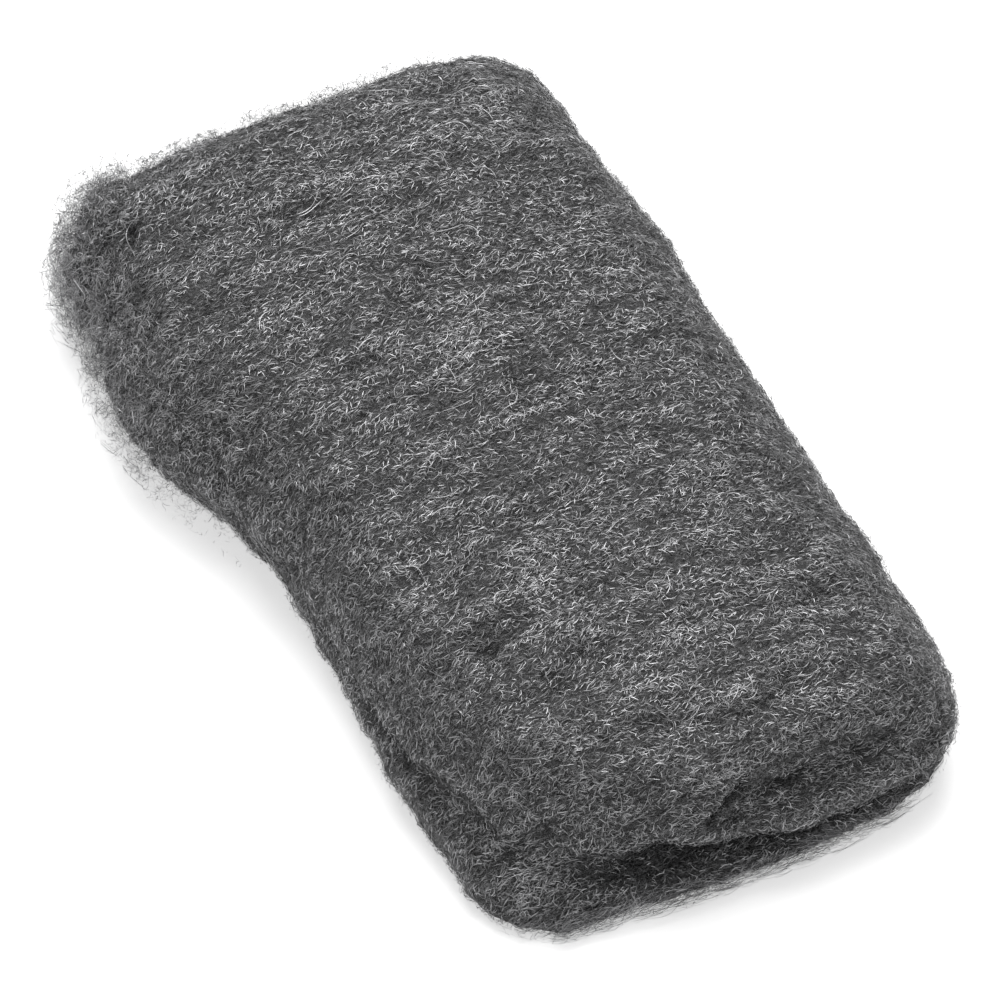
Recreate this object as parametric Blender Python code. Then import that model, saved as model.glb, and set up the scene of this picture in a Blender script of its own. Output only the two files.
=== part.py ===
# A hand pad of steel wool: a web of fine steel fibre, rolled up loosely and pressed flat.
# It lies with its length along Y. The end that shows the roll's turns faces -Y, and the
# side with the long crease faces -X. All sizes are in metres.
import math

import bpy
import numpy as np
from mathutils import Vector, noise

# The pad without its loose shoulder.
LENGTH = 0.1125
WIDTH = 0.0600
THICKNESS = 0.0215

# How far the rounding of each side reaches in from the edge, above and below its widest level.
SIDE_REACH = 0.0105
END_REACH = 0.0080
LOW_REACH = 0.0045
SIDE_CURVE = 2.0
END_CURVE = 2.2
WIDEST_LEVEL = 0.38
CORNER_ROUND = 0.0040
FAR_CORNER_FULL = 0.17
NEAR_CORNER_FULL = 0.11
CROWN_ACROSS = 0.0012
CROWN_ALONG = 0.0010

# The turn of web that lies on the table, and the mouth above it at the open end.
FLOOR_TURN = 0.0036
FLOOR_TURN_OUT = 0.0027
FLOOR_TURN_CORNER = 0.4
GROOVE = 0.0024
MOUTH_LEFT = -0.0155
MOUTH_WIDEST = -0.0110
MOUTH_RIGHT = 0.0100
MOUTH_HEIGHT = 0.0056
MOUTH_DEPTH = 0.0110
SEAM_DEPTH = 0.0042

# The roll's core at the open end, and the seam between it and the turn that covers it.
CORE_LEVEL = 0.0125
CORE_LEFT = -0.0040
CORE_TURN = 0.0070
CORE_RIGHT = 0.0190
CORE_FADE = 0.0080
CORE_SEAM_DEPTH = 0.0040
CORE_OUT = 0.0022
CORE_LIP_BACK = 0.30
CORE_DROP = 0.0022

# The crease along the left side, where the upper turns lie back from the lower one.
CREASE_LEVEL = 0.0088
CREASE_LENGTH = 0.060
CREASE_DEPTH = 0.0020
CREASE_AT_CORNER = 0.35
CORNER_CLOSED = 0.6
CREASE_LIP = 0.0007
LOWER_ROLL_OUT = 0.0020
CORNER_BACK = 0.0088
CORNER_BACK_REACH = 0.030

# The seams of the same roll at the closed far end.
FAR_SEAM_DEPTH = 0.0016
FAR_SEAM_HALF = 0.017

# The loose shoulder at the far left, and the right side, which narrows to the far end.
SHOULDER_OUT = 0.0085
SHOULDER_START = -0.003
SHOULDER_FULL = 0.027
SHOULDER_HOLLOW = 1.4
SCALLOP_PLACE = 0.027
SCALLOP_PITCH = 0.030
SCALLOP_DEPTH = 0.0018
FAR_RIGHT_IN = 0.0026
FAR_RIGHT_START = 0.016
NEAR_RIGHT_OUT = 0.0014
NEAR_RIGHT_START = 0.000
FAR_LEFT_OUT = 0.0012
FAR_LEFT_PLACE = -0.015
FAR_LEFT_HALF = 0.022

# Low waves that run across the top, and the furrows and dimples between them:
# x, y, half length, direction in degrees from X, half width, depth.
WAVE_PITCH = 0.0105
WAVE_DEPTH = 0.00030
FURROWS = (
    (0.0060, -0.0475, 0.0080, 8, 0.0020, 0.0012),
    (-0.0040, -0.0465, 0.0070, -28, 0.0022, 0.0012),
    (0.0215, -0.0505, 0.0070, 2, 0.0018, 0.0009),
    (0.0190, -0.0370, 0.0090, 10, 0.0022, 0.0008),
    (-0.0185, -0.0490, 0.0050, -60, 0.0022, 0.0010),
    (-0.0110, -0.0335, 0.0090, 12, 0.0024, 0.0009),
    (-0.0180, -0.0270, 0.0045, 70, 0.0026, 0.0014),
    (-0.0175, -0.0165, 0.0070, 50, 0.0022, 0.0009),
    (-0.0050, -0.0240, 0.0060, 75, 0.0020, 0.0008),
    (-0.0025, -0.0118, 0.0090, 2, 0.0022, 0.0011),
    (0.0140, -0.0130, 0.0100, -2, 0.0020, 0.0006),
    (0.0080, 0.0020, 0.0120, -2, 0.0022, 0.0005),
    (-0.0030, 0.0215, 0.0055, 14, 0.0022, 0.0016),
    (0.0030, 0.0225, 0.0060, -24, 0.0020, 0.0009),
    (-0.0120, 0.0150, 0.0050, 26, 0.0022, 0.0012),
    (-0.0090, 0.0380, 0.0080, 6, 0.0022, 0.0008),
    (0.0150, 0.0480, 0.0110, 0, 0.0020, 0.0008),
    (-0.0180, 0.0455, 0.0070, 10, 0.0022, 0.0009),
)

# Lumps in the web, higher on the sides of the left and of the far end, and ridges that run
# across the pad, bent a little. All fade out at the mouth, the seams and the foot.
LUMP_PITCH = 0.0060
LUMP_HEIGHT = 0.0005
SIDE_LUMP_HEIGHT = 0.0009
RIDGE_LENGTH = 0.0110
RIDGE_PITCH = 0.0038
RIDGE_HEIGHT = 0.0006
RIDGE_BEND = 3.9
FADE_DEPTH = 0.0012

# The mesh: cells across and along the top, closer together by its edges, and rows of cells
# down the sides: the top turn, the core's seam, the core, the lower opening, the floor turn.
ACROSS = 34
ALONG = 56
CLOSER = 0.66
ROWS = (5, 1, 1, 3, 1, 1, 1, 5)

GREY = (0.125, 0.125, 0.128, 1.0)
ROUGHNESS = 0.55
METALLIC = 0.6


def ramp(start, end, x):
    """0 at start, 1 at end, and smooth between them."""
    t = np.clip((x - start) / (end - start), 0, 1)
    return t * t * (3 - 2 * t)


def hump(x, centre, half):
    """1 at centre, and 0 from half away on."""
    t = np.clip((x - centre) / half, -1, 1)
    return (1 - t * t) ** 2


def span(x, start, end, fade):
    """1 from start to end, fading out over fade inside both."""
    return ramp(start, start + fade, x) * (1 - ramp(end - fade, end, x))


def top_level(x, y):
    """The height of the top over a point of the plan."""
    across = x / (WIDTH / 2 - SIDE_REACH)
    along = y / (LENGTH / 2 - END_REACH)
    z = THICKNESS - CROWN_ACROSS * across**2 - CROWN_ALONG * along**4
    drift = 0.0015 * np.sin(x / 0.019 + 0.4) + 0.0020 * np.sin(x / 0.008 + y / 0.03)
    z = z - WAVE_DEPTH * (0.5 - 0.5 * np.cos(2 * math.pi * (y + drift) / WAVE_PITCH))
    for fx, fy, half_length, turn, half_width, depth in FURROWS:
        c, s = math.cos(math.radians(turn)), math.sin(math.radians(turn))
        run = (x - fx) * c + (y - fy) * s
        off = (y - fy) * c - (x - fx) * s
        z = z - depth * hump(run, 0, half_length) * hump(off, 0, half_width)
    return z


def spread(half, cells):
    """Places from -half to half, closer together by both ends."""
    turn = math.pi / 2 * CLOSER
    return half * np.sin(np.linspace(-turn, turn, cells + 1)) / math.sin(turn)


def plan_grid():
    """The plan of the top's cells, an oblong with its corners rounded off."""
    half_x = WIDTH / 2 - SIDE_REACH
    half_y = LENGTH / 2 - END_REACH
    x, y = np.meshgrid(spread(half_x, ACROSS), spread(half_y, ALONG), indexing="ij")
    near_x = np.clip(1 - (half_x - abs(x)) / CORNER_ROUND, 0, 1)
    near_y = np.clip(1 - (half_y - abs(y)) / CORNER_ROUND, 0, 1)
    cut = CORNER_ROUND * (1 - math.sqrt(0.5)) * (near_x * near_y) ** 1.5
    return x - np.sign(x) * cut, y - np.sign(y) * cut


def ring_cells():
    """The cells' corners round the edge of the top, from the near left corner on."""
    near = [(i, 0) for i in range(ACROSS)]
    right = [(ACROSS, j) for j in range(ALONG)]
    far = [(i, ALONG) for i in range(ACROSS, 0, -1)]
    left = [(0, j) for j in range(ALONG, 0, -1)]
    return near + right + far + left


def blur(values, times):
    """Values round the ring, each smoothed with its neighbours."""
    for _ in range(times):
        values = (np.roll(values, 1, 0) + 2 * values + np.roll(values, -1, 0)) / 4
    return values


def outward(x, y):
    """The directions out of the ring in the plan."""
    step_x = np.roll(x, -1) - np.roll(x, 1)
    step_y = np.roll(y, -1) - np.roll(y, 1)
    size = np.hypot(step_x, step_y)
    normal = blur(np.stack((step_y / size, -step_x / size), 1), 9)
    return normal / np.linalg.norm(normal, axis=1)[:, None]


def shift(points, upper):
    """Puts points where the loose shoulder and the drawn-in corners are. The near left
    corner of the upper turns lies back by the share that upper says."""
    x, y, z = points[:, 0].copy(), points[:, 1].copy(), points[:, 2].copy()
    shoulder = ramp(SHOULDER_START, SHOULDER_FULL, y) ** SHOULDER_HOLLOW
    wave = np.cos(2 * math.pi * (y - SCALLOP_PLACE) / SCALLOP_PITCH)
    scallop = SCALLOP_DEPTH * (0.5 - 0.5 * wave)
    level = 0.45 + 0.55 * hump(z, THICKNESS * 0.42, THICKNESS * 0.7)
    points[:, 0] -= ramp(0.004, -WIDTH / 2, x) * shoulder * (SHOULDER_OUT - scallop) * level
    narrow = FAR_RIGHT_IN * ramp(FAR_RIGHT_START, LENGTH / 2, y)
    widen = NEAR_RIGHT_OUT * ramp(NEAR_RIGHT_START, -LENGTH / 2, y)
    points[:, 0] += ramp(0, WIDTH / 2, x) * (widen - narrow)
    far = ramp(0.02, LENGTH / 2, y) * hump(x, FAR_LEFT_PLACE, FAR_LEFT_HALF)
    points[:, 1] += FAR_LEFT_OUT * far
    corner = np.hypot(x + WIDTH / 2, y + LENGTH / 2)
    back = upper * CORNER_BACK * hump(corner, 0, CORNER_BACK_REACH)
    points[:, 0] += 0.45 * back
    points[:, 1] += 0.90 * back
    return points


def profile(angle, top, reach, curve):
    """The height and the distance out of a side at an angle, 0 on top and pi at the foot."""
    level = WIDEST_LEVEL * top
    c, s = np.cos(angle), np.sin(angle)
    power = 2 / curve
    high = level + (top - level) * np.maximum(c, 0) ** power
    low = level - level * np.maximum(-c, 0) ** power
    rounding = np.maximum(s, 0) ** power
    out = np.where(c >= 0, reach * rounding, reach - LOW_REACH + LOW_REACH * rounding)
    return np.where(c >= 0, high, low), out


def angle_at(z, top, curve):
    """The angle of a side's profile at a height."""
    level = WIDEST_LEVEL * top
    above = np.clip((z - level) / (top - level), 0, 1) ** (curve / 2)
    below = np.clip((level - z) / level, 0, 1) ** (curve / 2)
    return np.where(z >= level, np.arccos(above), math.pi - np.arccos(below))


def lower_opening(x, along, near, far, left):
    """The middle, the half height and the depth of the mouth, its seam and the crease."""
    rise = ramp(MOUTH_LEFT, MOUTH_WIDEST, x)
    mouth = near * rise * (1 - ramp(MOUTH_WIDEST, MOUTH_RIGHT, x))
    seam = near * span(x, MOUTH_LEFT, WIDTH / 2 - 0.002, 0.004)
    corner = near * (1 - ramp(-0.024, MOUTH_LEFT + 0.002, x))
    crease = left * (1 - ramp(0.40, 1, along)) + CREASE_AT_CORNER * corner
    closed = far * span(x, -FAR_SEAM_HALF, FAR_SEAM_HALF, 0.008)
    groove = GROOVE * (1 - CORNER_CLOSED * corner)
    half = (groove + (MOUTH_HEIGHT - GROOVE) * mouth) / 2
    depth = np.maximum.reduce((
        mouth**0.5 * MOUTH_DEPTH,
        seam * SEAM_DEPTH,
        crease * CREASE_DEPTH,
        closed * FAR_SEAM_DEPTH,
    ))
    at_floor = blur(1 - left - near * (1 - ramp(-0.026, MOUTH_LEFT, x)), 3)
    low = CREASE_LEVEL - GROOVE / 2
    return low + (FLOOR_TURN - low) * at_floor + half, half, depth


def core_seam(x, near, far):
    """The middle and the depth of the seam above the core."""
    core = near * ramp(CORE_LEFT, CORE_LEFT + 0.004, x)
    core = core * (1 - ramp(CORE_RIGHT - CORE_FADE, CORE_RIGHT + CORE_FADE, x))
    closed = far * span(x, -FAR_SEAM_HALF + 0.004, FAR_SEAM_HALF - 0.006, 0.008)
    depth = np.maximum(core * CORE_SEAM_DEPTH, closed * FAR_SEAM_DEPTH)
    drop = near * (1 - ramp(CORE_LEFT, CORE_LEFT + CORE_TURN, x))
    return CORE_LEVEL - drop * CORE_DROP, depth


def field(points):
    """A smooth noise of about -1 to 1, with a pitch of one."""
    return np.array([noise.noise(Vector(p)) for p in points])


def relief(points, normals):
    """How far the lumps and ridges of the web stand out at each point."""
    left = ramp(0.020, -0.020, points[:, 0])
    far = ramp(0.040, 0.055, points[:, 1])
    lump = LUMP_HEIGHT + SIDE_LUMP_HEIGHT * np.maximum(left, far) * (1 - normals[:, 2] ** 2)
    straight = points.copy()
    straight[:, 1] += RIDGE_BEND * points[:, 0] ** 2
    ridges = field(straight / (RIDGE_LENGTH, RIDGE_PITCH, RIDGE_PITCH))
    return lump * field(points / LUMP_PITCH) + RIDGE_HEIGHT * ridges


def build_points():
    """The mesh's points and faces, and the share of the relief that each point takes."""
    gx, gy = plan_grid()
    gz = top_level(gx, gy)
    number = np.arange(gx.size).reshape(gx.shape)
    ring = ring_cells()
    count = len(ring)
    x = np.array([gx[c] for c in ring])
    y = np.array([gy[c] for c in ring])
    top = np.array([gz[c] for c in ring])
    side = np.zeros((count, 4))
    side[np.arange(count), np.repeat(range(4), (ACROSS, ALONG, ACROSS, ALONG))] = 1
    near, right, far, left = blur(side, 10).T
    normal = outward(x, y)
    reach = (near + far) * END_REACH + (left + right) * SIDE_REACH
    curve = (near + far) * END_CURVE + (left + right) * SIDE_CURVE
    along = (y + LENGTH / 2) / CREASE_LENGTH
    corner = NEAR_CORNER_FULL * near * (left + right) + FAR_CORNER_FULL * far * (left + right)

    middle, half, depth = lower_opening(x, along, near, far, left)
    seam, seam_depth = core_seam(x, near, far)
    groove = GROOVE / 2
    seam = np.maximum(seam, middle + half + groove + 0.0012)
    levels = (seam + groove, seam, seam - groove,
              middle + half, middle + half * 0.4, middle - half * 0.4, middle - half)
    angles = [0 * top] + [angle_at(z, top, curve) for z in levels] + [0 * top + math.pi]
    shares = (0, CORE_LIP_BACK, 1, 0.12, 0.10, 1, 1, 0.10, 0)
    depths = [seam_depth] * 4 + [depth] * 5

    core_out = near * span(x, CORE_LEFT + 0.002, CORE_RIGHT + 0.008, 0.008) * CORE_OUT
    lip_out = left * (1 - ramp(0.6, 1, along)) * CREASE_LIP
    foot = FLOOR_TURN_CORNER + (1 - FLOOR_TURN_CORNER) * ramp(-0.020, -0.004, x)
    foot_out = near * foot * FLOOR_TURN_OUT + left * (1 - ramp(0.3, 1, along)) * LOWER_ROLL_OUT
    open_side = 1 - ramp(0, FADE_DEPTH, np.maximum(depth, seam_depth))
    rings = []
    takes = [np.ones(gx.size)]
    for part, steps in enumerate(ROWS):
        for t in np.arange(1, steps + 1) / steps:
            angle = angles[part] * (1 - t) + angles[part + 1] * t
            z, out = profile(angle, top, reach, curve)
            out = out * (1 + 4 * corner)
            out = out - (1 - t) * shares[part] * depths[part]
            out = out - t * shares[part + 1] * depths[part + 1]
            upper = 1.0
            if part == 3:
                out = out + (core_out + lip_out) * math.sin(math.pi * t)
            if part == 6:
                upper = 1 - 0.45 * t
                out = out + foot_out * 0.35 * t
            if part == 7:
                upper = 0.55 * (1 - t) ** 3
                out = out + foot_out * math.sin(math.pi * (0.12 + 0.88 * t))
            row = np.stack((x + normal[:, 0] * out, y + normal[:, 1] * out, z), 1)
            rings.append(shift(row, upper))
            if part == 0:
                takes.append(1 - t * (1 - open_side))
            elif part == 7:
                takes.append(open_side * (1 - t**2))
            else:
                takes.append(open_side)

    first = shift(np.stack((gx.ravel(), gy.ravel(), gz.ravel()), 1), 1.0)
    points = np.concatenate([first] + rings)
    rows = [np.array([number[c] for c in ring])]
    rows += [gx.size + count * k + np.arange(count) for k in range(len(rings))]
    faces = []
    for i in range(ACROSS):
        for j in range(ALONG):
            faces.append((number[i, j], number[i + 1, j], number[i + 1, j + 1], number[i, j + 1]))
    for above, below in zip(rows, rows[1:]):
        for k in range(count):
            n = (k + 1) % count
            faces.append((above[k], below[k], below[n], above[n]))
    faces.append(tuple(rows[-1][::-1]))
    return points, [tuple(int(i) for i in face) for face in faces], np.concatenate(takes)


def main():
    for old in list(bpy.data.objects):
        bpy.data.objects.remove(old, do_unlink=True)
    points, faces, takes = build_points()
    points[:, :2] -= (points[:, :2].max(0) + points[:, :2].min(0)) / 2
    mesh = bpy.data.meshes.new("wool_pad")
    mesh.from_pydata(points.tolist(), [], faces)
    mesh.update()
    normals = np.array([vertex.normal[:] for vertex in mesh.vertices])
    points += normals * (relief(points, normals) * takes)[:, None]
    points[:, :2] -= (points[:, :2].max(0) + points[:, :2].min(0)) / 2
    mesh.vertices.foreach_set("co", points.ravel())
    mesh.update()
    for polygon in mesh.polygons:
        polygon.use_smooth = True
    steel = bpy.data.materials.new("steel_wool")
    steel.use_nodes = True
    shader = steel.node_tree.nodes["Principled BSDF"]
    shader.inputs["Base Color"].default_value = GREY
    shader.inputs["Roughness"].default_value = ROUGHNESS
    shader.inputs["Metallic"].default_value = METALLIC
    mesh.materials.append(steel)
    pad = bpy.data.objects.new("wool_pad", mesh)
    bpy.context.scene.collection.objects.link(pad)


main()
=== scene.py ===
import math

import bmesh
import bpy
import numpy as np
from mathutils import Matrix, Vector, noise
from mathutils.bvhtree import BVHTree


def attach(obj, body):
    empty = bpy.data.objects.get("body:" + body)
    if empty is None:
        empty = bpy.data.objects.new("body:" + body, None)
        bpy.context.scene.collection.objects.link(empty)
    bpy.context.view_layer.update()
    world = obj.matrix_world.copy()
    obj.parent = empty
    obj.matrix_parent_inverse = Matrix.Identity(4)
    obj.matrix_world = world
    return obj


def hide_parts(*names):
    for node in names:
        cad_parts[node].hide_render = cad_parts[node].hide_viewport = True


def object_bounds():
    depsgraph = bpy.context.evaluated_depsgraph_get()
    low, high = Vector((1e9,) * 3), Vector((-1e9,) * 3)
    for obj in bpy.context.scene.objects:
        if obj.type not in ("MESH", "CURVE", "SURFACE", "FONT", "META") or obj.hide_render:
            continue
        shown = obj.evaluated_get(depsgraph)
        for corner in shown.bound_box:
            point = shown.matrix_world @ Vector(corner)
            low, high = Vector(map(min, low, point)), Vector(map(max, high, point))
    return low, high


MM = 0.001
SEED = 11
LOWEST = 0.02 * MM

# The core under the fibres. Its lumps are higher on the left and at the far end.
CORE_CELL = 0.80 * MM
CORE_SMOOTHING = 2
CORE_INSET = 0.05 * MM
CORE_LOWEST = 0.20 * MM
SIDE_OUT = 0.40 * MM
LUMP_PITCH = 3.0 * MM
LUMP_HEIGHT = 0.20 * MM
RAGGED_HEIGHT = 0.30 * MM
RAGGED_X = (0.020, -0.020)
RAGGED_Y = (0.040, 0.055)
FURROW_LENGTH = 8.0 * MM
FURROW_PITCH = 1.7 * MM
FURROW_HEIGHT = 0.30 * MM
GRAIN_PITCH = 0.9 * MM
GRAIN_HEIGHT = 0.20 * MM

# The loose shoulder at the far left, which grows up the left side by a share at a time.
SHOULDER_X = (-0.024, -0.031)
SHOULDER_Y = ((0.1, 0.004, 0.014), (0.3, 0.018, 0.028), (0.6, 0.032, 0.044))
SHOULDER_THIN = 3.5 * MM
SHOULDER_RAGGED = 3.4 * MM
SHOULDER_PITCH = 2.4 * MM

# The near left corner, where the crease is evened out, and the crease beyond it, by a share.
CORNER_X = (-0.012, -0.019)
CORNER_Y = (-0.030, -0.040)
CORNER_Z = (1.0 * MM, 3.0 * MM)
CREASE_X = (-0.018, -0.024)
CREASE_Y = (0.004, -0.010)
CREASE_SHARE = 0.10
CREASE_RELAX = 30

# How the fibres run: across the pad, turning a little from its left side to its right, and
# swaying together from place to place. Some lie any way they like. In a crevice they keep to a
# share of the room there, and one that jumps to another turn of the roll is left out.
FAN_DEGREES_PER_METRE = -450
SWAY_DEGREES = 35
SWAY_PITCH = 7.0 * MM
ACROSS_SHARE = 0.6
STRAY_SHARE = 0.30
WAVES = (0.8, 2.2)
BENDS = (0.3, 1.7)
JUMP = 1.6
ROOM = 4.0 * MM
ROOM_SHARE = 0.25
ROLL_SPREAD = 0.5
TAPER_END = 0.35
TAPER_POWER = 0.6
CELL_MARGIN = 0.12

# The web's tones, with painted light and shade. Painted shade makes it darker in crevices and
# in hollows, down to these shares, and painted light makes it lighter on the ridges, darker in the
# furrows.
RIDGE_PAINTED_CONTRAST = 0.45
RIDGE_PAINTED_LIGHT = 0.15
RAY_START = 0.10 * MM
CREVICE_REACH = 7.0 * MM
CREVICE_TILT = 55
CREVICE_OPEN = (0.30, 0.80)
CREVICE_PAINTED_SHADE = 0.20
HOLLOW_REACH = 60
HOLLOW_PULL = 0.5
HOLLOW_DEPTH = (0.15 * MM, 1.30 * MM)
HOLLOW_PAINTED_SHADE = 0.30
SHOULDER_TONE = 0.70
BLUER = 1.02

# Where fibres grow: fewer underneath, on the calm lowest turn and in furrows; curls at the
# shoulder and the far corner beside it; tufts on the far rim; a fringe on the lowest turn's rim.
LEAST_WEIGHT = 1e-9
UPRIGHT = 1.1
UNDER_FACING = -0.8
UNDER_HEIGHT = 1.0 * MM
UNDER_SHARE = 0.2
CALM_X = (-0.020, -0.012)
CALM_Y = (-0.045, -0.050)
CALM_Z = (7.0 * MM, 5.5 * MM)
CALM_SHARE = 0.25
RIDGE_PULL = 1.6
RIDGE_LIMITS = (0.1, 3)
FAR_CORNER_X = (-0.016, -0.024)
FAR_CORNER_Y = (0.045, 0.053)
TUFT_X = (0.035, -0.020)
TUFT_Y = (0.049, 0.055)
TUFT_Z = (0.009, 0.015)
TUFT_PITCH = 4.0 * MM
TUFT_GAPS = (-0.25, 0.25)
EDGE_FACING = -0.5
EDGE_UNDER_SHARE = 0.02
RIM_LEFT = (-0.028, -0.016)
RIM_RIGHT = (0.028, 0.020)
RIM_Z = (3.8 * MM, 2.6 * MM)
RIM_FACING = (0.3, 0.7)

# The camera, which looks at the pad as the photograph does.
AZIMUTH = -27.3
ELEVATION = 55.6
DISTANCE = 1.316
LENS = 404
SENSOR = 36
AIM_RIGHT = 0.80 * MM
AIM_DOWN = 2.34 * MM

# Narrow folds in the open end and along the crease, and a hollow at the far left, each with its
# strength and the photograph's pixels that it passes.
PICTURE = 1000
FOLD_HALF = 1.3 * MM
FOLD_DEPTH = 0.9 * MM
FOLD_SPARSE = 0.7
FOLD_SPARSEST = 0.9
# Painted shade in the folds: their tone is darkened by this share, down to the least below.
FOLD_DARK = 0.8
FOLD_DARKEST = 0.05
SLIT = (3.0, ((742, 791), (733, 800), (723, 813), (713, 823)))
CORE_SEAM = (0.5, ((742, 791), (760, 782), (787, 778), (807, 768)))
UPPER_FOLD = (0.4, ((640, 822), (667, 810), (687, 800), (707, 797)))
LOWER_FOLD = (0.4, ((690, 832), (740, 818), (790, 800), (830, 780)))
LEFT_CREASE = (0.5, ((380, 720), (430, 770), (470, 810), (507, 840)))
ROUND_HOLLOW = (1.0, ((130, 231), (133, 243)))
FOLDS = (SLIT, CORE_SEAM, UPPER_FOLD, LOWER_FOLD, LEFT_CREASE, ROUND_HOLLOW)

# Light fibres that show singly, by the pixels that each one passes.
SINGLE_LIFT = 0.60 * MM
SINGLE_WIDTH = 0.075 * MM
SINGLE_STEPS = 11
SINGLE_EVENING = 4
SINGLE_TONE = 0.85
ROUND_ONE = ((137, 218), (128, 226), (125, 237), (128, 248), (135, 253))
FAR_PAIR = (((296, 217), (306, 214), (314, 204), (318, 193)), ((298, 220), (311, 213), (322, 201)))
CORNER_CURL = ((513, 830), (518, 822), (523, 828))
ON_THE_LIP = ((699, 848), (696, 842), (702, 835))
IN_THE_MOUTH = ((613, 866), (620, 872), (618, 880))
NEAR_PAIR = (((508, 758), (535, 760), (557, 753)), ((580, 757), (584, 767), (583, 777)))
LOWER_RIGHT = ((867, 797), (872, 788), (880, 780))
SINGLES = (ROUND_ONE, *FAR_PAIR, CORNER_CURL, ON_THE_LIP, IN_THE_MOUTH, *NEAR_PAIR, LOWER_RIGHT)

# The studio: a soft lamp above the pad's far right corner, and even light from all round.
LAMP_PLACE = (0.22, 0.50, 1.00)
LAMP_SIZE = 0.8
LAMP_POWER = 11.3
SKY = 0.33
FLOOR_HALF = 3.0
FLOOR_WHITE = 0.94
FLOOR_GLOW = 0.55


def mesh_object(name, points, faces, material):
    """A new object from an array of points and an array of faces of one size."""
    mesh = bpy.data.meshes.new(name)
    sides = faces.shape[1]
    mesh.vertices.add(len(points))
    mesh.vertices.foreach_set("co", points.astype(np.float32).ravel())
    mesh.loops.add(faces.size)
    mesh.loops.foreach_set("vertex_index", faces.astype(np.int32).ravel())
    mesh.polygons.add(len(faces))
    mesh.polygons.foreach_set("loop_start", np.arange(0, faces.size, sides, dtype=np.int32))
    mesh.polygons.foreach_set("use_smooth", np.ones(len(faces), bool))
    mesh.update(calc_edges=True)
    mesh.materials.append(material)
    obj = bpy.data.objects.new(name, mesh)
    bpy.context.scene.collection.objects.link(obj)
    return obj


def mesh_arrays(mesh):
    """A mesh's points and the normals there."""
    points = np.zeros(len(mesh.vertices) * 3, np.float32)
    normals = np.zeros(len(mesh.vertices) * 3, np.float32)
    mesh.vertices.foreach_get("co", points)
    mesh.vertices.foreach_get("normal", normals)
    return points.reshape(-1, 3).astype(float), normals.reshape(-1, 3).astype(float)


def move_points(mesh, points):
    mesh.vertices.foreach_set("co", points.astype(np.float32).ravel())
    mesh.update()


def unit(v):
    return v / np.maximum(np.linalg.norm(v, axis=-1, keepdims=True), 1e-12)


def ramp(start, end, x):
    """0 before the start and 1 past the end, with a smooth way up between them."""
    t = np.clip((x - start) / (end - start), 0, 1)
    return t * t * (3 - 2 * t)


def field(points, pitch):
    """A smooth noise from about -1 to 1, with a pitch for each axis."""
    return np.array([noise.noise(Vector(p)) for p in points / np.array(pitch)])


def furrows(points):
    """Ridges, above zero, and furrows, below it, that run the way the fibres do."""
    bend = -math.radians(FAN_DEGREES_PER_METRE) / 2
    straight = points.copy()
    straight[:, 1] += bend * points[:, 0] ** 2
    return field(straight, (FURROW_LENGTH, FURROW_PITCH, FURROW_PITCH))


def camera_axes():
    """The camera's right, up and back, and the place that it looks at."""
    a, e = math.radians(AZIMUTH), math.radians(ELEVATION)
    right = Vector((math.cos(a), math.sin(a), 0))
    back = Vector((math.sin(a) * math.cos(e), -math.cos(a) * math.cos(e), math.sin(e)))
    up = back.cross(right)
    middle = Vector((0, 0, (cad_low.z + cad_high.z) / 2))
    return right, up, back, middle + right * AIM_RIGHT - up * AIM_DOWN


def on_pad(pixels):
    """The places on the pad that show at pixels of the photograph."""
    right, up, back, aim = camera_axes()
    size = SENSOR / LENS / PICTURE
    places = []
    for u, v in pixels:
        way = right * (u - PICTURE / 2) * size - up * (v - PICTURE / 2) * size - back
        places.append(pad_tree.ray_cast(aim + back * DISTANCE, way.normalized())[0])
    return np.array(places)


def fold(points):
    """How much of a fold there is at each point, up to the strength of the nearest line."""
    found = np.zeros(len(points))
    for strength, places in folds:
        for a, b in zip(places, places[1:]):
            t = np.clip((points - a) @ (b - a) / ((b - a) @ (b - a)), 0, 1)
            off = np.linalg.norm(points - a - t[:, None] * (b - a), axis=1)
            found = np.maximum(found, strength * ramp(FOLD_HALF, 0, off))
    return found


def fold_painted_shade(points):
    """Painted shade for each point, darker in the folds."""
    return np.maximum(1 - FOLD_DARK * fold(points), FOLD_DARKEST)


# Materials.


def node_material(name, roughness, metallic):
    """A new material, its node tree and its shader."""
    material = bpy.data.materials.new(name)
    material.use_nodes = True
    shader = material.node_tree.nodes["Principled BSDF"]
    shader.inputs["Roughness"].default_value = roughness
    shader.inputs["Metallic"].default_value = metallic
    return material, material.node_tree, shader


def math_node(tree, operation, a, b=None, clamp=False):
    """The result of a math node, whose values are numbers or other nodes' results."""
    node = tree.nodes.new("ShaderNodeMath")
    node.operation = operation
    node.use_clamp = clamp
    for socket, value in zip(node.inputs, (a, b)):
        if value is None:
            continue
        if isinstance(value, (int, float)):
            socket.default_value = value
        else:
            tree.links.new(value, socket)
    return node.outputs[0]


def line_tangle(tree, stretch, pitch, seed, width):
    """Thin curly lines, the places where a stretched noise passes its middle value."""
    coordinates = tree.nodes.new("ShaderNodeTexCoord")
    mapping = tree.nodes.new("ShaderNodeMapping")
    mapping.inputs["Location"].default_value = (seed * 0.37, seed * 0.91, seed * 0.53)
    mapping.inputs["Scale"].default_value = (1 / (pitch * stretch), 1 / pitch, 1 / pitch)
    tree.links.new(coordinates.outputs["Object"], mapping.inputs["Vector"])
    texture = tree.nodes.new("ShaderNodeTexNoise")
    texture.inputs["Scale"].default_value = 1
    texture.inputs["Detail"].default_value = 1.5
    texture.inputs["Roughness"].default_value = 0.5
    texture.inputs["Distortion"].default_value = 0.6
    tree.links.new(mapping.outputs["Vector"], texture.inputs["Vector"])
    off = math_node(tree, "ABSOLUTE", math_node(tree, "SUBTRACT", texture.outputs["Fac"], 0.5))
    return math_node(tree, "SUBTRACT", 1, math_node(tree, "DIVIDE", off, width), clamp=True)


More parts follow.
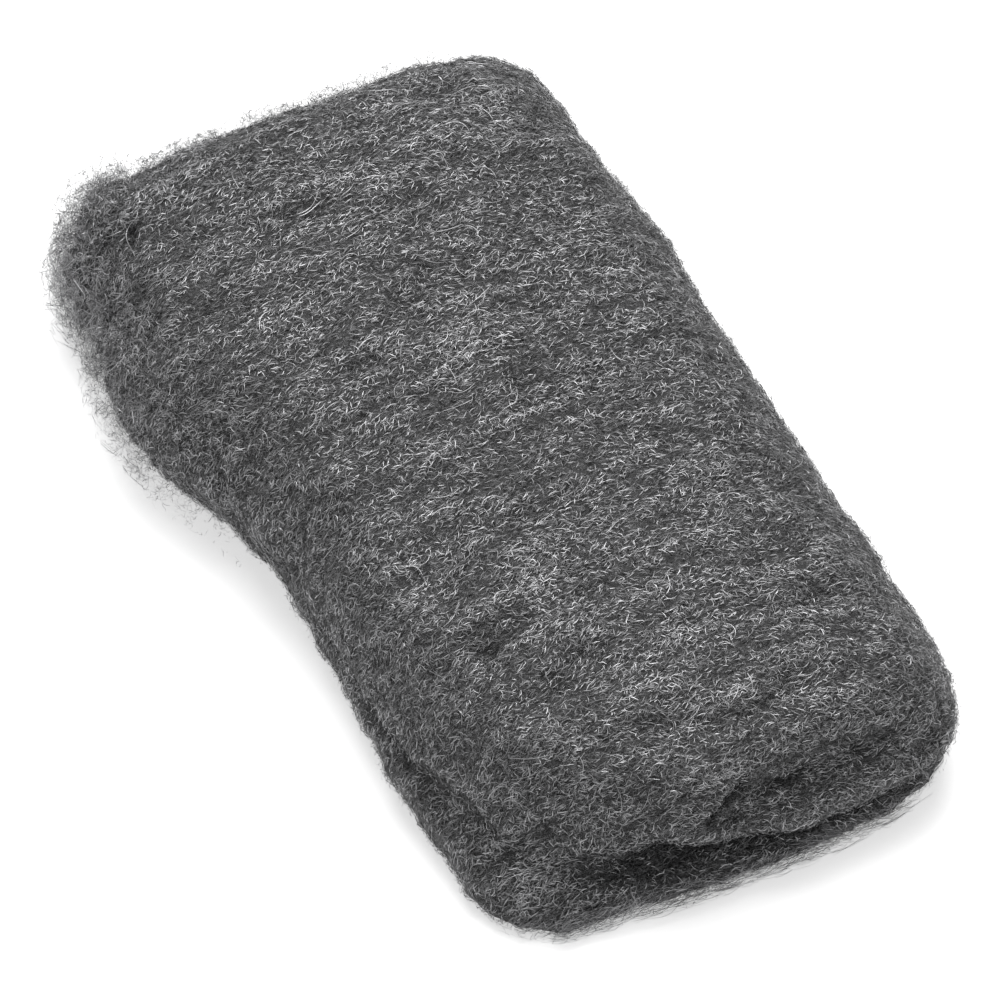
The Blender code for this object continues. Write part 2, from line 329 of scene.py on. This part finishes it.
def core_material():
    """Packed web: near black between the fibres, painted shade for the web's depth, with three
    tangles of lighter lines in it, darkened further by painted shade in crevices, hollows and folds.
    """
    material, tree, shader = node_material("packed_web", 0.5, 0.5)
    lines = None
    for stretch, pitch, seed, width in (
        (2.6, 0.40 * MM, 1, 0.050),
        (1.6, 0.50 * MM, 2, 0.040),
        (3.5, 0.32 * MM, 3, 0.050),
    ):
        one = line_tangle(tree, stretch, pitch, seed, width)
        lines = one if lines is None else math_node(tree, "MAXIMUM", lines, one)
    # The near black and dark grey between the lines are painted shade for the depth of the web.
    colours = tree.nodes.new("ShaderNodeValToRGB")
    colours.color_ramp.elements[0].color = (0.012, 0.012, 0.012, 1)
    colours.color_ramp.elements[1].color = (0.200, 0.200, 0.204, 1)
    between = colours.color_ramp.elements.new(0.4)
    between.color = (0.040, 0.040, 0.041, 1)
    tree.links.new(lines, colours.inputs["Fac"])
    # Painted shade of crevices, hollows and folds darkens the colour.
    painted_shade = tree.nodes.new("ShaderNodeAttribute")
    painted_shade.attribute_name = "painted_shade"
    darker = tree.nodes.new("ShaderNodeVectorMath")
    darker.operation = "SCALE"
    tree.links.new(colours.outputs["Color"], darker.inputs[0])
    tree.links.new(painted_shade.outputs["Fac"], darker.inputs["Scale"])
    tree.links.new(darker.outputs["Vector"], shader.inputs["Base Color"])
    bump = tree.nodes.new("ShaderNodeBump")
    bump.inputs["Strength"].default_value = 0.6
    bump.inputs["Distance"].default_value = 0.15 * MM
    tree.links.new(lines, bump.inputs["Height"])
    tree.links.new(bump.outputs["Normal"], shader.inputs["Normal"])
    return material


def fibre_material(name, dark, light, roughness, metallic):
    """Bare steel. Each fibre has a tone between dark and light, partly its own and partly painted
    light and shade.
    """
    material, tree, shader = node_material(name, roughness, metallic)
    tone = tree.nodes.new("ShaderNodeAttribute")
    tone.attribute_name = "tone"
    colours = tree.nodes.new("ShaderNodeValToRGB")
    colours.color_ramp.elements[0].color = (dark, dark, dark * BLUER, 1)
    colours.color_ramp.elements[1].color = (light, light, light * BLUER, 1)
    tree.links.new(tone.outputs["Fac"], colours.inputs["Fac"])
    tree.links.new(colours.outputs["Color"], shader.inputs["Base Color"])
    return material


# The core.


def shoulder(points):
    """1 at the loose shoulder at the far left, and less down the left side."""
    up = sum(share * ramp(start, end, points[:, 1]) for share, start, end in SHOULDER_Y)
    return ramp(*SHOULDER_X, points[:, 0]) * up


def at_corner(points):
    """1 round the near left corner, where the turns run into one another, less up the left side."""
    x, y, z = points.T
    beside = ramp(*CORNER_X, x) * ramp(*CORNER_Y, y)
    crease = CREASE_SHARE * ramp(*CREASE_X, x) * ramp(*CREASE_Y, y)
    return np.maximum(beside, crease) * ramp(*CORNER_Z, z)


def relax(mesh, points, share, times):
    """Evens out the form: draws points to the middle of their neighbours by a share."""
    edges = np.zeros(len(mesh.edges) * 2, np.int32)
    mesh.edges.foreach_get("vertices", edges)
    a, b = edges.reshape(-1, 2).T
    beside = np.bincount(edges, minlength=len(points))[:, None]
    for _ in range(times):
        total = np.zeros_like(points)
        for axis in range(3):
            total[:, axis] = np.bincount(a, points[b, axis], len(points))
            total[:, axis] += np.bincount(b, points[a, axis], len(points))
        points = points + share[:, None] * (total / beside - points)
    return points


def hollow_painted_shade(mesh):
    """Painted shade for each point, darker in the hollows, the places under the evened out form."""
    points, normals = mesh_arrays(mesh)
    even = relax(mesh, points, np.full(len(points), HOLLOW_PULL), HOLLOW_REACH)
    hollow = ((even - points) * normals).sum(1)
    return 1 - (1 - HOLLOW_PAINTED_SHADE) * ramp(*HOLLOW_DEPTH, hollow)


def even_copy(node, material):
    """The CAD solid's form in small even cells, a little smoothed, as an object of its own."""
    mesh = node.data.copy()
    core = bpy.data.objects.new("core_web", mesh)
    bpy.context.scene.collection.objects.link(core)
    remesh = core.modifiers.new("remesh", "REMESH")
    remesh.mode = "VOXEL"
    remesh.voxel_size = CORE_CELL
    smooth = core.modifiers.new("smooth", "SMOOTH")
    smooth.factor = 0.5
    smooth.iterations = CORE_SMOOTHING
    bpy.context.view_layer.update()
    evaluated = core.evaluated_get(bpy.context.evaluated_depsgraph_get())
    done = bpy.data.meshes.new_from_object(evaluated)
    core.modifiers.clear()
    core.data = done
    done.name = "core_web"
    bpy.data.meshes.remove(mesh)
    done.materials.clear()
    done.materials.append(material)
    return core


def core_depth(points, normals):
    """How far out each point of the core goes, for its lumps, furrows, grain, folds and shoulder."""
    side = 1 - normals[:, 2] ** 2
    ragged = np.maximum(ramp(*RAGGED_X, points[:, 0]), ramp(*RAGGED_Y, points[:, 1]))
    lump = LUMP_HEIGHT + RAGGED_HEIGHT * ragged * side
    depth = np.full(len(points), -CORE_INSET)
    depth += lump * field(points, (LUMP_PITCH,) * 3)
    depth += FURROW_HEIGHT * furrows(points)
    depth += GRAIN_HEIGHT * field(points, (GRAIN_PITCH,) * 3)
    depth += SIDE_OUT * (normals[:, 0] ** 2 + np.maximum(normals[:, 1], 0) ** 2)
    depth -= FOLD_DEPTH * fold(points)
    scallop = SHOULDER_RAGGED * field(points, (SHOULDER_PITCH,) * 3)
    depth += (scallop - SHOULDER_THIN) * shoulder(points) * side
    return depth


def make_core(node, material):
    """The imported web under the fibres: the CAD solid's form, evened out and roughened."""
    core = even_copy(node, material)
    mesh = core.data
    points, _ = mesh_arrays(mesh)
    move_points(mesh, relax(mesh, points, at_corner(points), CREASE_RELAX))
    points, normals = mesh_arrays(mesh)
    points = points + normals * core_depth(points, normals)[:, None]
    points[:, 2] = np.maximum(points[:, 2], CORE_LOWEST)
    mesh.polygons.foreach_set("use_smooth", np.ones(len(mesh.polygons), bool))
    move_points(mesh, points)
    return core


def paint_core(core, surface):
    """Gives the core painted shade, darker in crevices, hollows and folds."""
    tone = surface.painted_shade_at_points(len(core.data.vertices))
    tone = tone * fold_painted_shade(mesh_arrays(core.data)[0])
    layer = core.data.attributes.new("painted_shade", "FLOAT", "POINT")
    layer.data.foreach_set("value", tone.astype(np.float32))


class Surface:
    """The form that the fibres lie on: places to start from, the nearest place to a point, the room
    over each face, and the painted shade of its crevices and hollows.
    """

    def __init__(self, obj):
        bm = bmesh.new()
        bm.from_mesh(obj.data)
        bmesh.ops.triangulate(bm, faces=bm.faces)
        self.tree = BVHTree.FromBMesh(bm)
        points = np.array([v.co[:] for v in bm.verts])
        self.corners = np.array([[v.index for v in f.verts] for f in bm.faces])
        bm.free()
        self.a, self.b, self.c = (points[self.corners[:, k]] for k in range(3))
        cross = np.cross(self.b - self.a, self.c - self.a)
        self.area = np.linalg.norm(cross, axis=1) / 2
        self.normals = unit(cross)
        self.centres = (self.a + self.b + self.c) / 3
        along = unit(self.b - self.a)
        across = unit(np.cross(self.normals, self.b - self.a))
        tilt = math.radians(CREVICE_TILT)
        ways = [self.normals]
        for side in (along, -along, across, -across):
            ways.append(self.normals * math.cos(tilt) + side * math.sin(tilt))
        ahead = [self.free(way) for way in ways]
        self.room = np.minimum(ahead[0], ROOM)
        # Painted shade: darker where rays from a face soon meet the surface again and in the
        # hollows, and kept at least as light as SHOULDER_TONE at the loose shoulder.
        share = sum(ahead) / (len(ways) * CREVICE_REACH)
        self.painted_shade = CREVICE_PAINTED_SHADE + (1 - CREVICE_PAINTED_SHADE) * ramp(*CREVICE_OPEN, share)
        self.painted_shade *= hollow_painted_shade(obj.data)[self.corners].mean(1)
        self.painted_shade = np.maximum(self.painted_shade, SHOULDER_TONE * shoulder(self.centres))

    def free(self, directions):
        """How far it is from each face to the next surface in a direction, up to CREVICE_REACH."""
        found = np.full(len(directions), CREVICE_REACH)
        for i, (place, normal, way) in enumerate(zip(self.centres, self.normals, directions)):
            start = Vector(place + normal * RAY_START)
            hit = self.tree.ray_cast(start, Vector(way), CREVICE_REACH)
            if hit[0] is not None:
                found[i] = hit[3]
        return found

    def painted_shade_at_points(self, count):
        """The painted shade at the mesh's points, from the faces around each."""
        total, faces = np.zeros(count), np.zeros(count)
        for k in range(3):
            np.add.at(total, self.corners[:, k], self.painted_shade)
            np.add.at(faces, self.corners[:, k], 1)
        return total / np.maximum(faces, 1)

    def sample(self, rng, count, weight):
        """Places spread by area and weight, and the normals, the room and the painted shade there.
        """
        share = self.area * weight(self.centres, self.normals)
        face = rng.choice(len(share), size=count, p=share / share.sum())
        u, v = rng.random((2, count))
        over = u + v > 1
        u[over], v[over] = 1 - u[over], 1 - v[over]
        a, b, c = self.a[face], self.b[face], self.c[face]
        places = a + (b - a) * u[:, None] + (c - a) * v[:, None]
        return places, self.normals[face], self.room[face], self.painted_shade[face]

    def nearest(self, path):
        """The nearest places on the surface to the points of paths, and the normals there."""
        points = path.reshape(-1, 3)
        places, normals = np.empty_like(points), np.empty_like(points)
        for i, p in enumerate(points):
            places[i], normals[i], _, _ = self.tree.find_nearest(Vector(p))
        return places.reshape(path.shape), normals.reshape(path.shape)


# The fibres.


class Kind:
    """What the fibres of one kind are like. Pairs are the least and the most, in metres.

    Curl is how far a fibre turns from end to end, more or less, and wave how far it sways on
    the way, in radians. Its ends lie at the height lift over the surface, one of them higher than
    the other by up to rise, and its middle bow higher; where close is over 1, more of them lie
    low. The share stray lies any way. Where level is set, a fibre is moved out sideways, not up.
    Its path is evened out as many times as even says."""

    def __init__(self, length, width, lift, bow, steps=4, spread=0.4, curl=1.0, wave=0.15,
                 stray=STRAY_SHARE, level=False, close=1.0, even=1, rise=0.0):
        self.length, self.width, self.lift, self.bow = length, width, lift, bow
        self.steps, self.spread, self.curl, self.wave = steps, spread, curl, wave
        self.stray, self.level, self.close, self.even = stray, level, close, even
        self.rise = rise


def main_direction(points, normals):
    """The way the web's fibres run: across the pad and round its sides."""
    around = np.cross(np.array([0.0, 1.0, 0.0]), normals)
    across = np.array([1.0, 0.0, 0.0]) - normals * normals[:, :1]
    around *= np.where((around * across).sum(1) < 0, -1.0, 1.0)[:, None]
    flow = unit(around + ACROSS_SHARE * across + 1e-6)
    side = np.cross(normals, flow)
    sway = field(points, (SWAY_PITCH,) * 3)
    turn = np.radians(FAN_DEGREES_PER_METRE * points[:, 0] + SWAY_DEGREES * sway)
    return unit(flow * np.cos(turn)[:, None] + side * np.sin(turn)[:, None])


def evened(path, times):
    """Paths with their bends evened out, and their ends where they were."""
    for _ in range(times):
        path[:, 1:-1] = (path[:, :-2] + 2 * path[:, 1:-1] + path[:, 2:]) / 4
    return path


def lying(surface, rng, kind, count, weight):
    """Paths of fibres on the surface, the normals along them, and the painted shade of their places.
    """
    starts, normals, room, painted_shade = surface.sample(rng, count, weight)
    flow = main_direction(starts, normals)
    side = np.cross(normals, flow)
    turn = rng.normal(0, kind.spread, count)
    stray = rng.random(count) < kind.stray
    turn[stray] = rng.uniform(-math.pi / 2, math.pi / 2, stray.sum())
    at = np.linspace(-0.5, 0.5, kind.steps)
    beat = at * rng.uniform(*WAVES, (count, 1)) + rng.random((count, 1))
    bend = rng.uniform(*BENDS, (count, 1)) * rng.choice((-1, 1), (count, 1)) * kind.curl
    heading = turn[:, None] + bend * at
    heading = heading + kind.wave * np.sin(2 * math.pi * beat)
    step = rng.uniform(*kind.length, (count, 1)) / (kind.steps - 1)
    run = np.cumsum(np.cos(heading) * step, 1)
    off = np.cumsum(np.sin(heading) * step, 1)
    run -= run.mean(1, keepdims=True)
    off -= off.mean(1, keepdims=True)
    path = starts[:, None] + run[..., None] * flow[:, None] + off[..., None] * side[:, None]
    places, normals = surface.nearest(path)
    longest = np.linalg.norm(np.diff(places, axis=1), axis=2).max(1)
    whole = longest < JUMP * step[:, 0]
    low, high = kind.lift
    height = low + (high - low) * rng.random((count, 1)) ** kind.close
    height = height + rng.uniform(*kind.bow, (count, 1)) * np.sin(math.pi * (at + 0.5))
    if kind.rise:
        height = height + kind.rise * rng.uniform(-1, 1, (count, 1)) * at
    height = np.where(room[:, None] < ROOM, np.minimum(height, ROOM_SHARE * room[:, None]), height)
    out = unit(normals * (1, 1, 0)) if kind.level else normals
    path = evened(places + out * height[..., None], kind.even)
    path[..., 2] = np.maximum(path[..., 2], LOWEST)
    return path[whole], normals[whole], painted_shade[whole]


def ribbons(name, path, normals, widths, roll, tone, material):
    """Fibres as flat shavings along their paths, each rolled by its own angle."""
    count, steps, _ = path.shape
    along = unit(np.gradient(path, axis=1))
    side = unit(np.cross(along, normals))
    up = np.cross(side, along)
    turned = side * np.cos(roll)[:, None, None] + up * np.sin(roll)[:, None, None]
    swell = np.sin(math.pi * np.linspace(0, 1, steps)) ** TAPER_POWER
    taper = TAPER_END + (1 - TAPER_END) * swell
    half = (widths[:, None] * taper)[..., None] / 2
    points = np.stack((path - turned * half, path + turned * half), 2)
    points[..., 2] = np.maximum(points[..., 2], LOWEST)
    first = np.arange(count * steps).reshape(count, steps)[:, :-1].ravel() * 2
    faces = np.stack((first, first + 2, first + 3, first + 1), 1)
    obj = mesh_object(name, points.reshape(-1, 3), faces, material)
    paint(obj, path, 2, tone)
    return obj


def paint(obj, path, around, tone):
    """Gives each fibre its tone along the path, and a small cell of its own in the map."""
    mesh = obj.data
    count, steps, _ = path.shape
    layer = mesh.attributes.new("tone", "FLOAT", "POINT")
    layer.data.foreach_set("value", np.repeat(tone, around).astype(np.float32))
    cells = math.ceil(math.sqrt(count))
    index = np.arange(count)
    column, row = index % cells, index // cells
    inside = 1 - 2 * CELL_MARGIN
    u = column[:, None, None] + CELL_MARGIN + inside * np.linspace(0, 1, steps)[None, :, None]
    v = row[:, None, None] + CELL_MARGIN + inside * np.linspace(0, 1, around)[None, None, :]
    u = np.broadcast_to(u, (count, steps, around))
    v = np.broadcast_to(v, (count, steps, around))
    point_uv = np.stack((u, v), -1).reshape(-1, 2) / cells
    corner = np.zeros(len(mesh.loops), np.int32)
    mesh.loops.foreach_get("vertex_index", corner)
    uv_map = mesh.uv_layers.new(name="OFBake")
    uv_map.data.foreach_set("uv", point_uv[corner].astype(np.float32).ravel())


# Where each kind of fibre grows, as a weight for each face of the surface.


def everywhere(centres, normals):
    """Fewer fibres underneath, where the pad rests, and in the folds."""
    under = (normals[:, 2] < UNDER_FACING) & (centres[:, 2] < UNDER_HEIGHT)
    sparse = np.minimum(FOLD_SPARSE * fold(centres), FOLD_SPARSEST)
    return np.where(under, UNDER_SHARE, 1.0) * (1 - sparse)


def on_ridges(centres, normals):
    """More fibres on the ridges than in the furrows, and few on the calm lowest turn."""
    calm = ramp(*CALM_Y, centres[:, 1]) * ramp(*CALM_X, centres[:, 0])
    calm = calm * ramp(*CALM_Z, centres[:, 2])
    ridges = np.clip(1 + RIDGE_PULL * furrows(centres), *RIDGE_LIMITS)
    return everywhere(centres, normals) * ridges * (1 - (1 - CALM_SHARE) * calm)


def at_shoulder(centres, normals):
    """The loose shoulder at the far left, and the far end's corner beside it."""
    corner = ramp(*FAR_CORNER_X, centres[:, 0]) * ramp(*FAR_CORNER_Y, centres[:, 1])
    return np.maximum(shoulder(centres), corner) * (UPRIGHT - normals[:, 2] ** 2) + LEAST_WEIGHT


def at_far_end(centres, normals):
    """Tufts along the upper rim of the far end, more of them on the left."""
    far = ramp(*TUFT_Y, centres[:, 1]) * ramp(*TUFT_X, centres[:, 0])
    far = far * ramp(*TUFT_Z, centres[:, 2])
    tufts = ramp(*TUFT_GAPS, field(centres, (TUFT_PITCH,) * 3))
    return far * tufts * (UPRIGHT - np.abs(normals[:, 2])) + LEAST_WEIGHT


def at_edges(centres, normals):
    """The pad's sides and ends, which show against the background."""
    under = normals[:, 2] < EDGE_FACING
    return np.where(under, EDGE_UNDER_SHARE, UPRIGHT - np.abs(normals[:, 2]))


def at_floor_turn(centres, normals):
    """The rim of the lowest turn at the open end."""
    near = ramp(*RIM_LEFT, centres[:, 0]) * ramp(*RIM_RIGHT, centres[:, 0])
    near = near * ramp(*RIM_Z, centres[:, 2])
    return near * ramp(*RIM_FACING, -normals[:, 1]) + LEAST_WEIGHT


# The pieces of the pad.


def add(obj):
    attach(obj, "root")
    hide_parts("wool_pad")


def tones(rng, path, skew):
    """A tone for each fibre: mostly dark ones where skew is over 1, painted lighter on the ridges
    and darker in the furrows.
    """
    ridge = furrows(path.mean(1))
    tone = rng.random(len(path)) ** skew * (1 + RIDGE_PAINTED_CONTRAST * ridge)
    return np.clip(tone + RIDGE_PAINTED_LIGHT * ridge, 0, 1)


def felt(name, count, kind, material, weight=everywhere, skew=1.3):
    """A layer of flat fibres that lie in the surface or arch out of it."""
    path, normals, painted_shade = lying(surface, rng, kind, count, weight)
    widths = rng.uniform(*kind.width, len(path))
    roll = rng.normal(0, ROLL_SPREAD, len(path))
    # Painted shade of crevices, hollows and folds darkens the tone.
    tone = (tones(rng, path, skew) * painted_shade)[:, None]
    tone = tone * fold_painted_shade(path.reshape(-1, 3)).reshape(path.shape[:2])
    add(ribbons(name, path, normals, widths, roll, tone, material))


def single(material):
    """The light fibres that show singly, a smooth curve past the places of each."""
    at = np.linspace(0, 1, SINGLE_STEPS)
    paths = []
    for pixels in SINGLES:
        places = on_pad(pixels)
        run = np.linalg.norm(np.diff(places, axis=0), axis=1).cumsum()
        past = np.concatenate(([0], run / run[-1]))
        paths.append(np.stack([np.interp(at, past, places[:, k]) for k in range(3)], 1))
    places, normals = surface.nearest(np.array(paths))
    path = evened(places + normals * SINGLE_LIFT, SINGLE_EVENING)
    widths, roll = np.full(len(path), SINGLE_WIDTH), np.zeros(len(path))
    tone = np.full(path.shape[:2], SINGLE_TONE)
    add(ribbons("single_fibres", path, normals, widths, roll, tone, material))


def cover_with_fibres():
    """All the fibres, a kind at a time."""
    # The first steel is a darker copy of the bare one: painted shade for the deepest layer, also
    # used for the strands on the lowest turn's rim.
    shaded_steel = fibre_material("painted_shade_fibre", dark=0.010, light=0.14, roughness=0.55, metallic=0.8)
    bare = fibre_material("bare_fibre", dark=0.045, light=0.45, roughness=0.50, metallic=0.9)
    bright = fibre_material("bright_fibre", dark=0.15, light=0.32, roughness=0.42, metallic=1.0)
    felt("felt_deep", 36000, Kind(
        length=(0.5 * MM, 1.5 * MM), width=(0.07 * MM, 0.12 * MM), steps=3,
        lift=(-0.05 * MM, 0.15 * MM), bow=(0.00 * MM, 0.15 * MM)), shaded_steel)
    felt("felt_low", 48000, Kind(
        length=(0.4 * MM, 1.3 * MM), width=(0.07 * MM, 0.12 * MM), steps=3,
        lift=(0.05 * MM, 0.30 * MM), bow=(0.00 * MM, 0.20 * MM)), bare)
    felt("felt_high", 48000, Kind(
        length=(0.4 * MM, 1.2 * MM), width=(0.06 * MM, 0.11 * MM), steps=3, curl=1.3,
        lift=(0.15 * MM, 0.45 * MM), bow=(0.00 * MM, 0.25 * MM)), bare, on_ridges)
    felt("bright_dashes", 27000, Kind(
        length=(0.25 * MM, 0.85 * MM), width=(0.05 * MM, 0.09 * MM), steps=3, curl=1.6,
        lift=(0.15 * MM, 0.50 * MM), bow=(0.00 * MM, 0.25 * MM)), bright, on_ridges)
    felt("long_fibres", 1300, Kind(
        length=(1.5 * MM, 4.5 * MM), width=(0.05 * MM, 0.08 * MM), steps=8, curl=1.7, wave=0.1,
        lift=(0.25 * MM, 0.50 * MM), bow=(0.00 * MM, 0.30 * MM), even=6), bright, on_ridges)
    felt("edge_fuzz", 11000, Kind(
        length=(0.4 * MM, 1.1 * MM), width=(0.04 * MM, 0.07 * MM), steps=4, curl=2.5, stray=1.0,
        lift=(0.10 * MM, 0.75 * MM), bow=(-0.10 * MM, 0.30 * MM), rise=0.6 * MM), bare, at_edges)
    felt("far_tufts", 6700, Kind(
        length=(0.7 * MM, 1.8 * MM), width=(0.035 * MM, 0.06 * MM), steps=5, curl=3.8, stray=1.0,
        lift=(0.00 * MM, 1.90 * MM), bow=(-0.20 * MM, 0.20 * MM), close=1.5, rise=0.9 * MM),
        bare, at_far_end)
    felt("shoulder_curls", 14000, Kind(
        length=(0.4 * MM, 1.3 * MM), width=(0.035 * MM, 0.065 * MM), steps=5, curl=4.0, stray=1.0,
        lift=(0.00 * MM, 3.80 * MM), bow=(-0.20 * MM, 0.20 * MM), close=1.2, rise=0.9 * MM),
        bare, at_shoulder, skew=0.6)
    felt("floor_strands", 90, Kind(
        length=(4.0 * MM, 11.0 * MM), width=(0.03 * MM, 0.05 * MM), steps=12, spread=0.10,
        curl=0.7, wave=0.3, stray=0.0, level=True,
        lift=(0.50 * MM, 2.30 * MM), bow=(-0.30 * MM, 0.60 * MM), even=4), shaded_steel, at_floor_turn)
    felt("floor_fringe", 2600, Kind(
        length=(1.0 * MM, 3.2 * MM), width=(0.03 * MM, 0.05 * MM), steps=6, spread=0.15,
        curl=1.0, wave=0.2, stray=0.15, level=True,
        lift=(0.00 * MM, 1.80 * MM), bow=(-0.30 * MM, 0.30 * MM), close=1.4), bare, at_floor_turn)
    single(bright)


# The stage: a white floor, soft light from above, and the photograph's view.


def seen_ray(tree):
    """1 for the rays that show the background: straight, in bare metal, or through glass."""
    path = tree.nodes.new("ShaderNodeLightPath")
    seen = path.outputs["Is Camera Ray"]
    for ray in ("Is Glossy Ray", "Is Transmission Ray"):
        seen = math_node(tree, "MAXIMUM", seen, path.outputs[ray])
    return seen


def make_floor():
    mesh = bpy.data.meshes.new("floor")
    size = FLOOR_HALF
    corners = [(-size, -size, 0), (size, -size, 0), (size, size, 0), (-size, size, 0)]
    mesh.from_pydata(corners, [], [(0, 1, 2, 3)])
    material, tree, shader = node_material("floor_white", 0.9, 0.0)
    shader.inputs["Base Color"].default_value = (FLOOR_WHITE, FLOOR_WHITE, FLOOR_WHITE, 1)
    shader.inputs["Specular IOR Level"].default_value = 0.0
    shader.inputs["Emission Color"].default_value = (1, 1, 1, 1)
    glow = math_node(tree, "MULTIPLY", seen_ray(tree), FLOOR_GLOW)
    tree.links.new(glow, shader.inputs["Emission Strength"])
    mesh.materials.append(material)
    floor = bpy.data.objects.new("floor", mesh)
    bpy.context.scene.collection.objects.link(floor)


def area_light(name, place, size, power):
    """A square soft lamp that shines at the pad."""
    light = bpy.data.lights.new(name, "AREA")
    light.shape = "SQUARE"
    light.size = size
    light.energy = power
    lamp = bpy.data.objects.new(name, light)
    bpy.context.scene.collection.objects.link(lamp)
    lamp.location = place
    lamp.rotation_euler = (-Vector(place)).to_track_quat("-Z", "Y").to_euler()


def make_world():
    """Even light from all round, and white where the background shows."""
    world = bpy.data.worlds.new("studio")
    world.use_nodes = True
    tree = world.node_tree
    background = tree.nodes["Background"]
    level = tree.nodes.new("ShaderNodeMix")
    level.data_type = "FLOAT"
    level.inputs["A"].default_value = SKY
    level.inputs["B"].default_value = 1.0
    tree.links.new(seen_ray(tree), level.inputs["Factor"])
    tree.links.new(level.outputs["Result"], background.inputs["Strength"])
    background.inputs["Color"].default_value = (1, 1, 1, 1)
    bpy.context.scene.world = world


def make_camera():
    right, up, back, aim = camera_axes()
    camera = bpy.data.objects.new("camera", bpy.data.cameras.new("camera"))
    bpy.context.scene.collection.objects.link(camera)
    placed = Matrix((right, up, back)).transposed().to_4x4()
    placed.translation = aim + back * DISTANCE
    camera.matrix_world = placed
    camera.data.lens = LENS
    camera.data.sensor_width = SENSOR
    camera.data.clip_start = 0.1
    camera.data.clip_end = 20
    bpy.context.scene.camera = camera


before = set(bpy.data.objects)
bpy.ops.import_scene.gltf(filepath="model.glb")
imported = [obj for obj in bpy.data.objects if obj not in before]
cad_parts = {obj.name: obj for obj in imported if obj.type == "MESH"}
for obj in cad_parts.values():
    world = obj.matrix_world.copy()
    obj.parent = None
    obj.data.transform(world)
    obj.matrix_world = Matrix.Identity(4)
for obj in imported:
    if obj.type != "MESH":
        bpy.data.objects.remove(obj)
cad_low, cad_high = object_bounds()
rng = np.random.default_rng(SEED)

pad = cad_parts["wool_pad"]
pad_tree = BVHTree.FromObject(pad, bpy.context.evaluated_depsgraph_get())
folds = [(strength, on_pad(pixels)) for strength, pixels in FOLDS]

core = make_core(pad, core_material())
add(core)
surface = Surface(core)
paint_core(core, surface)
cover_with_fibres()

make_floor()
make_world()
area_light("key", LAMP_PLACE, LAMP_SIZE, LAMP_POWER)
make_camera()
bpy.context.scene.view_settings.view_transform = "Standard"
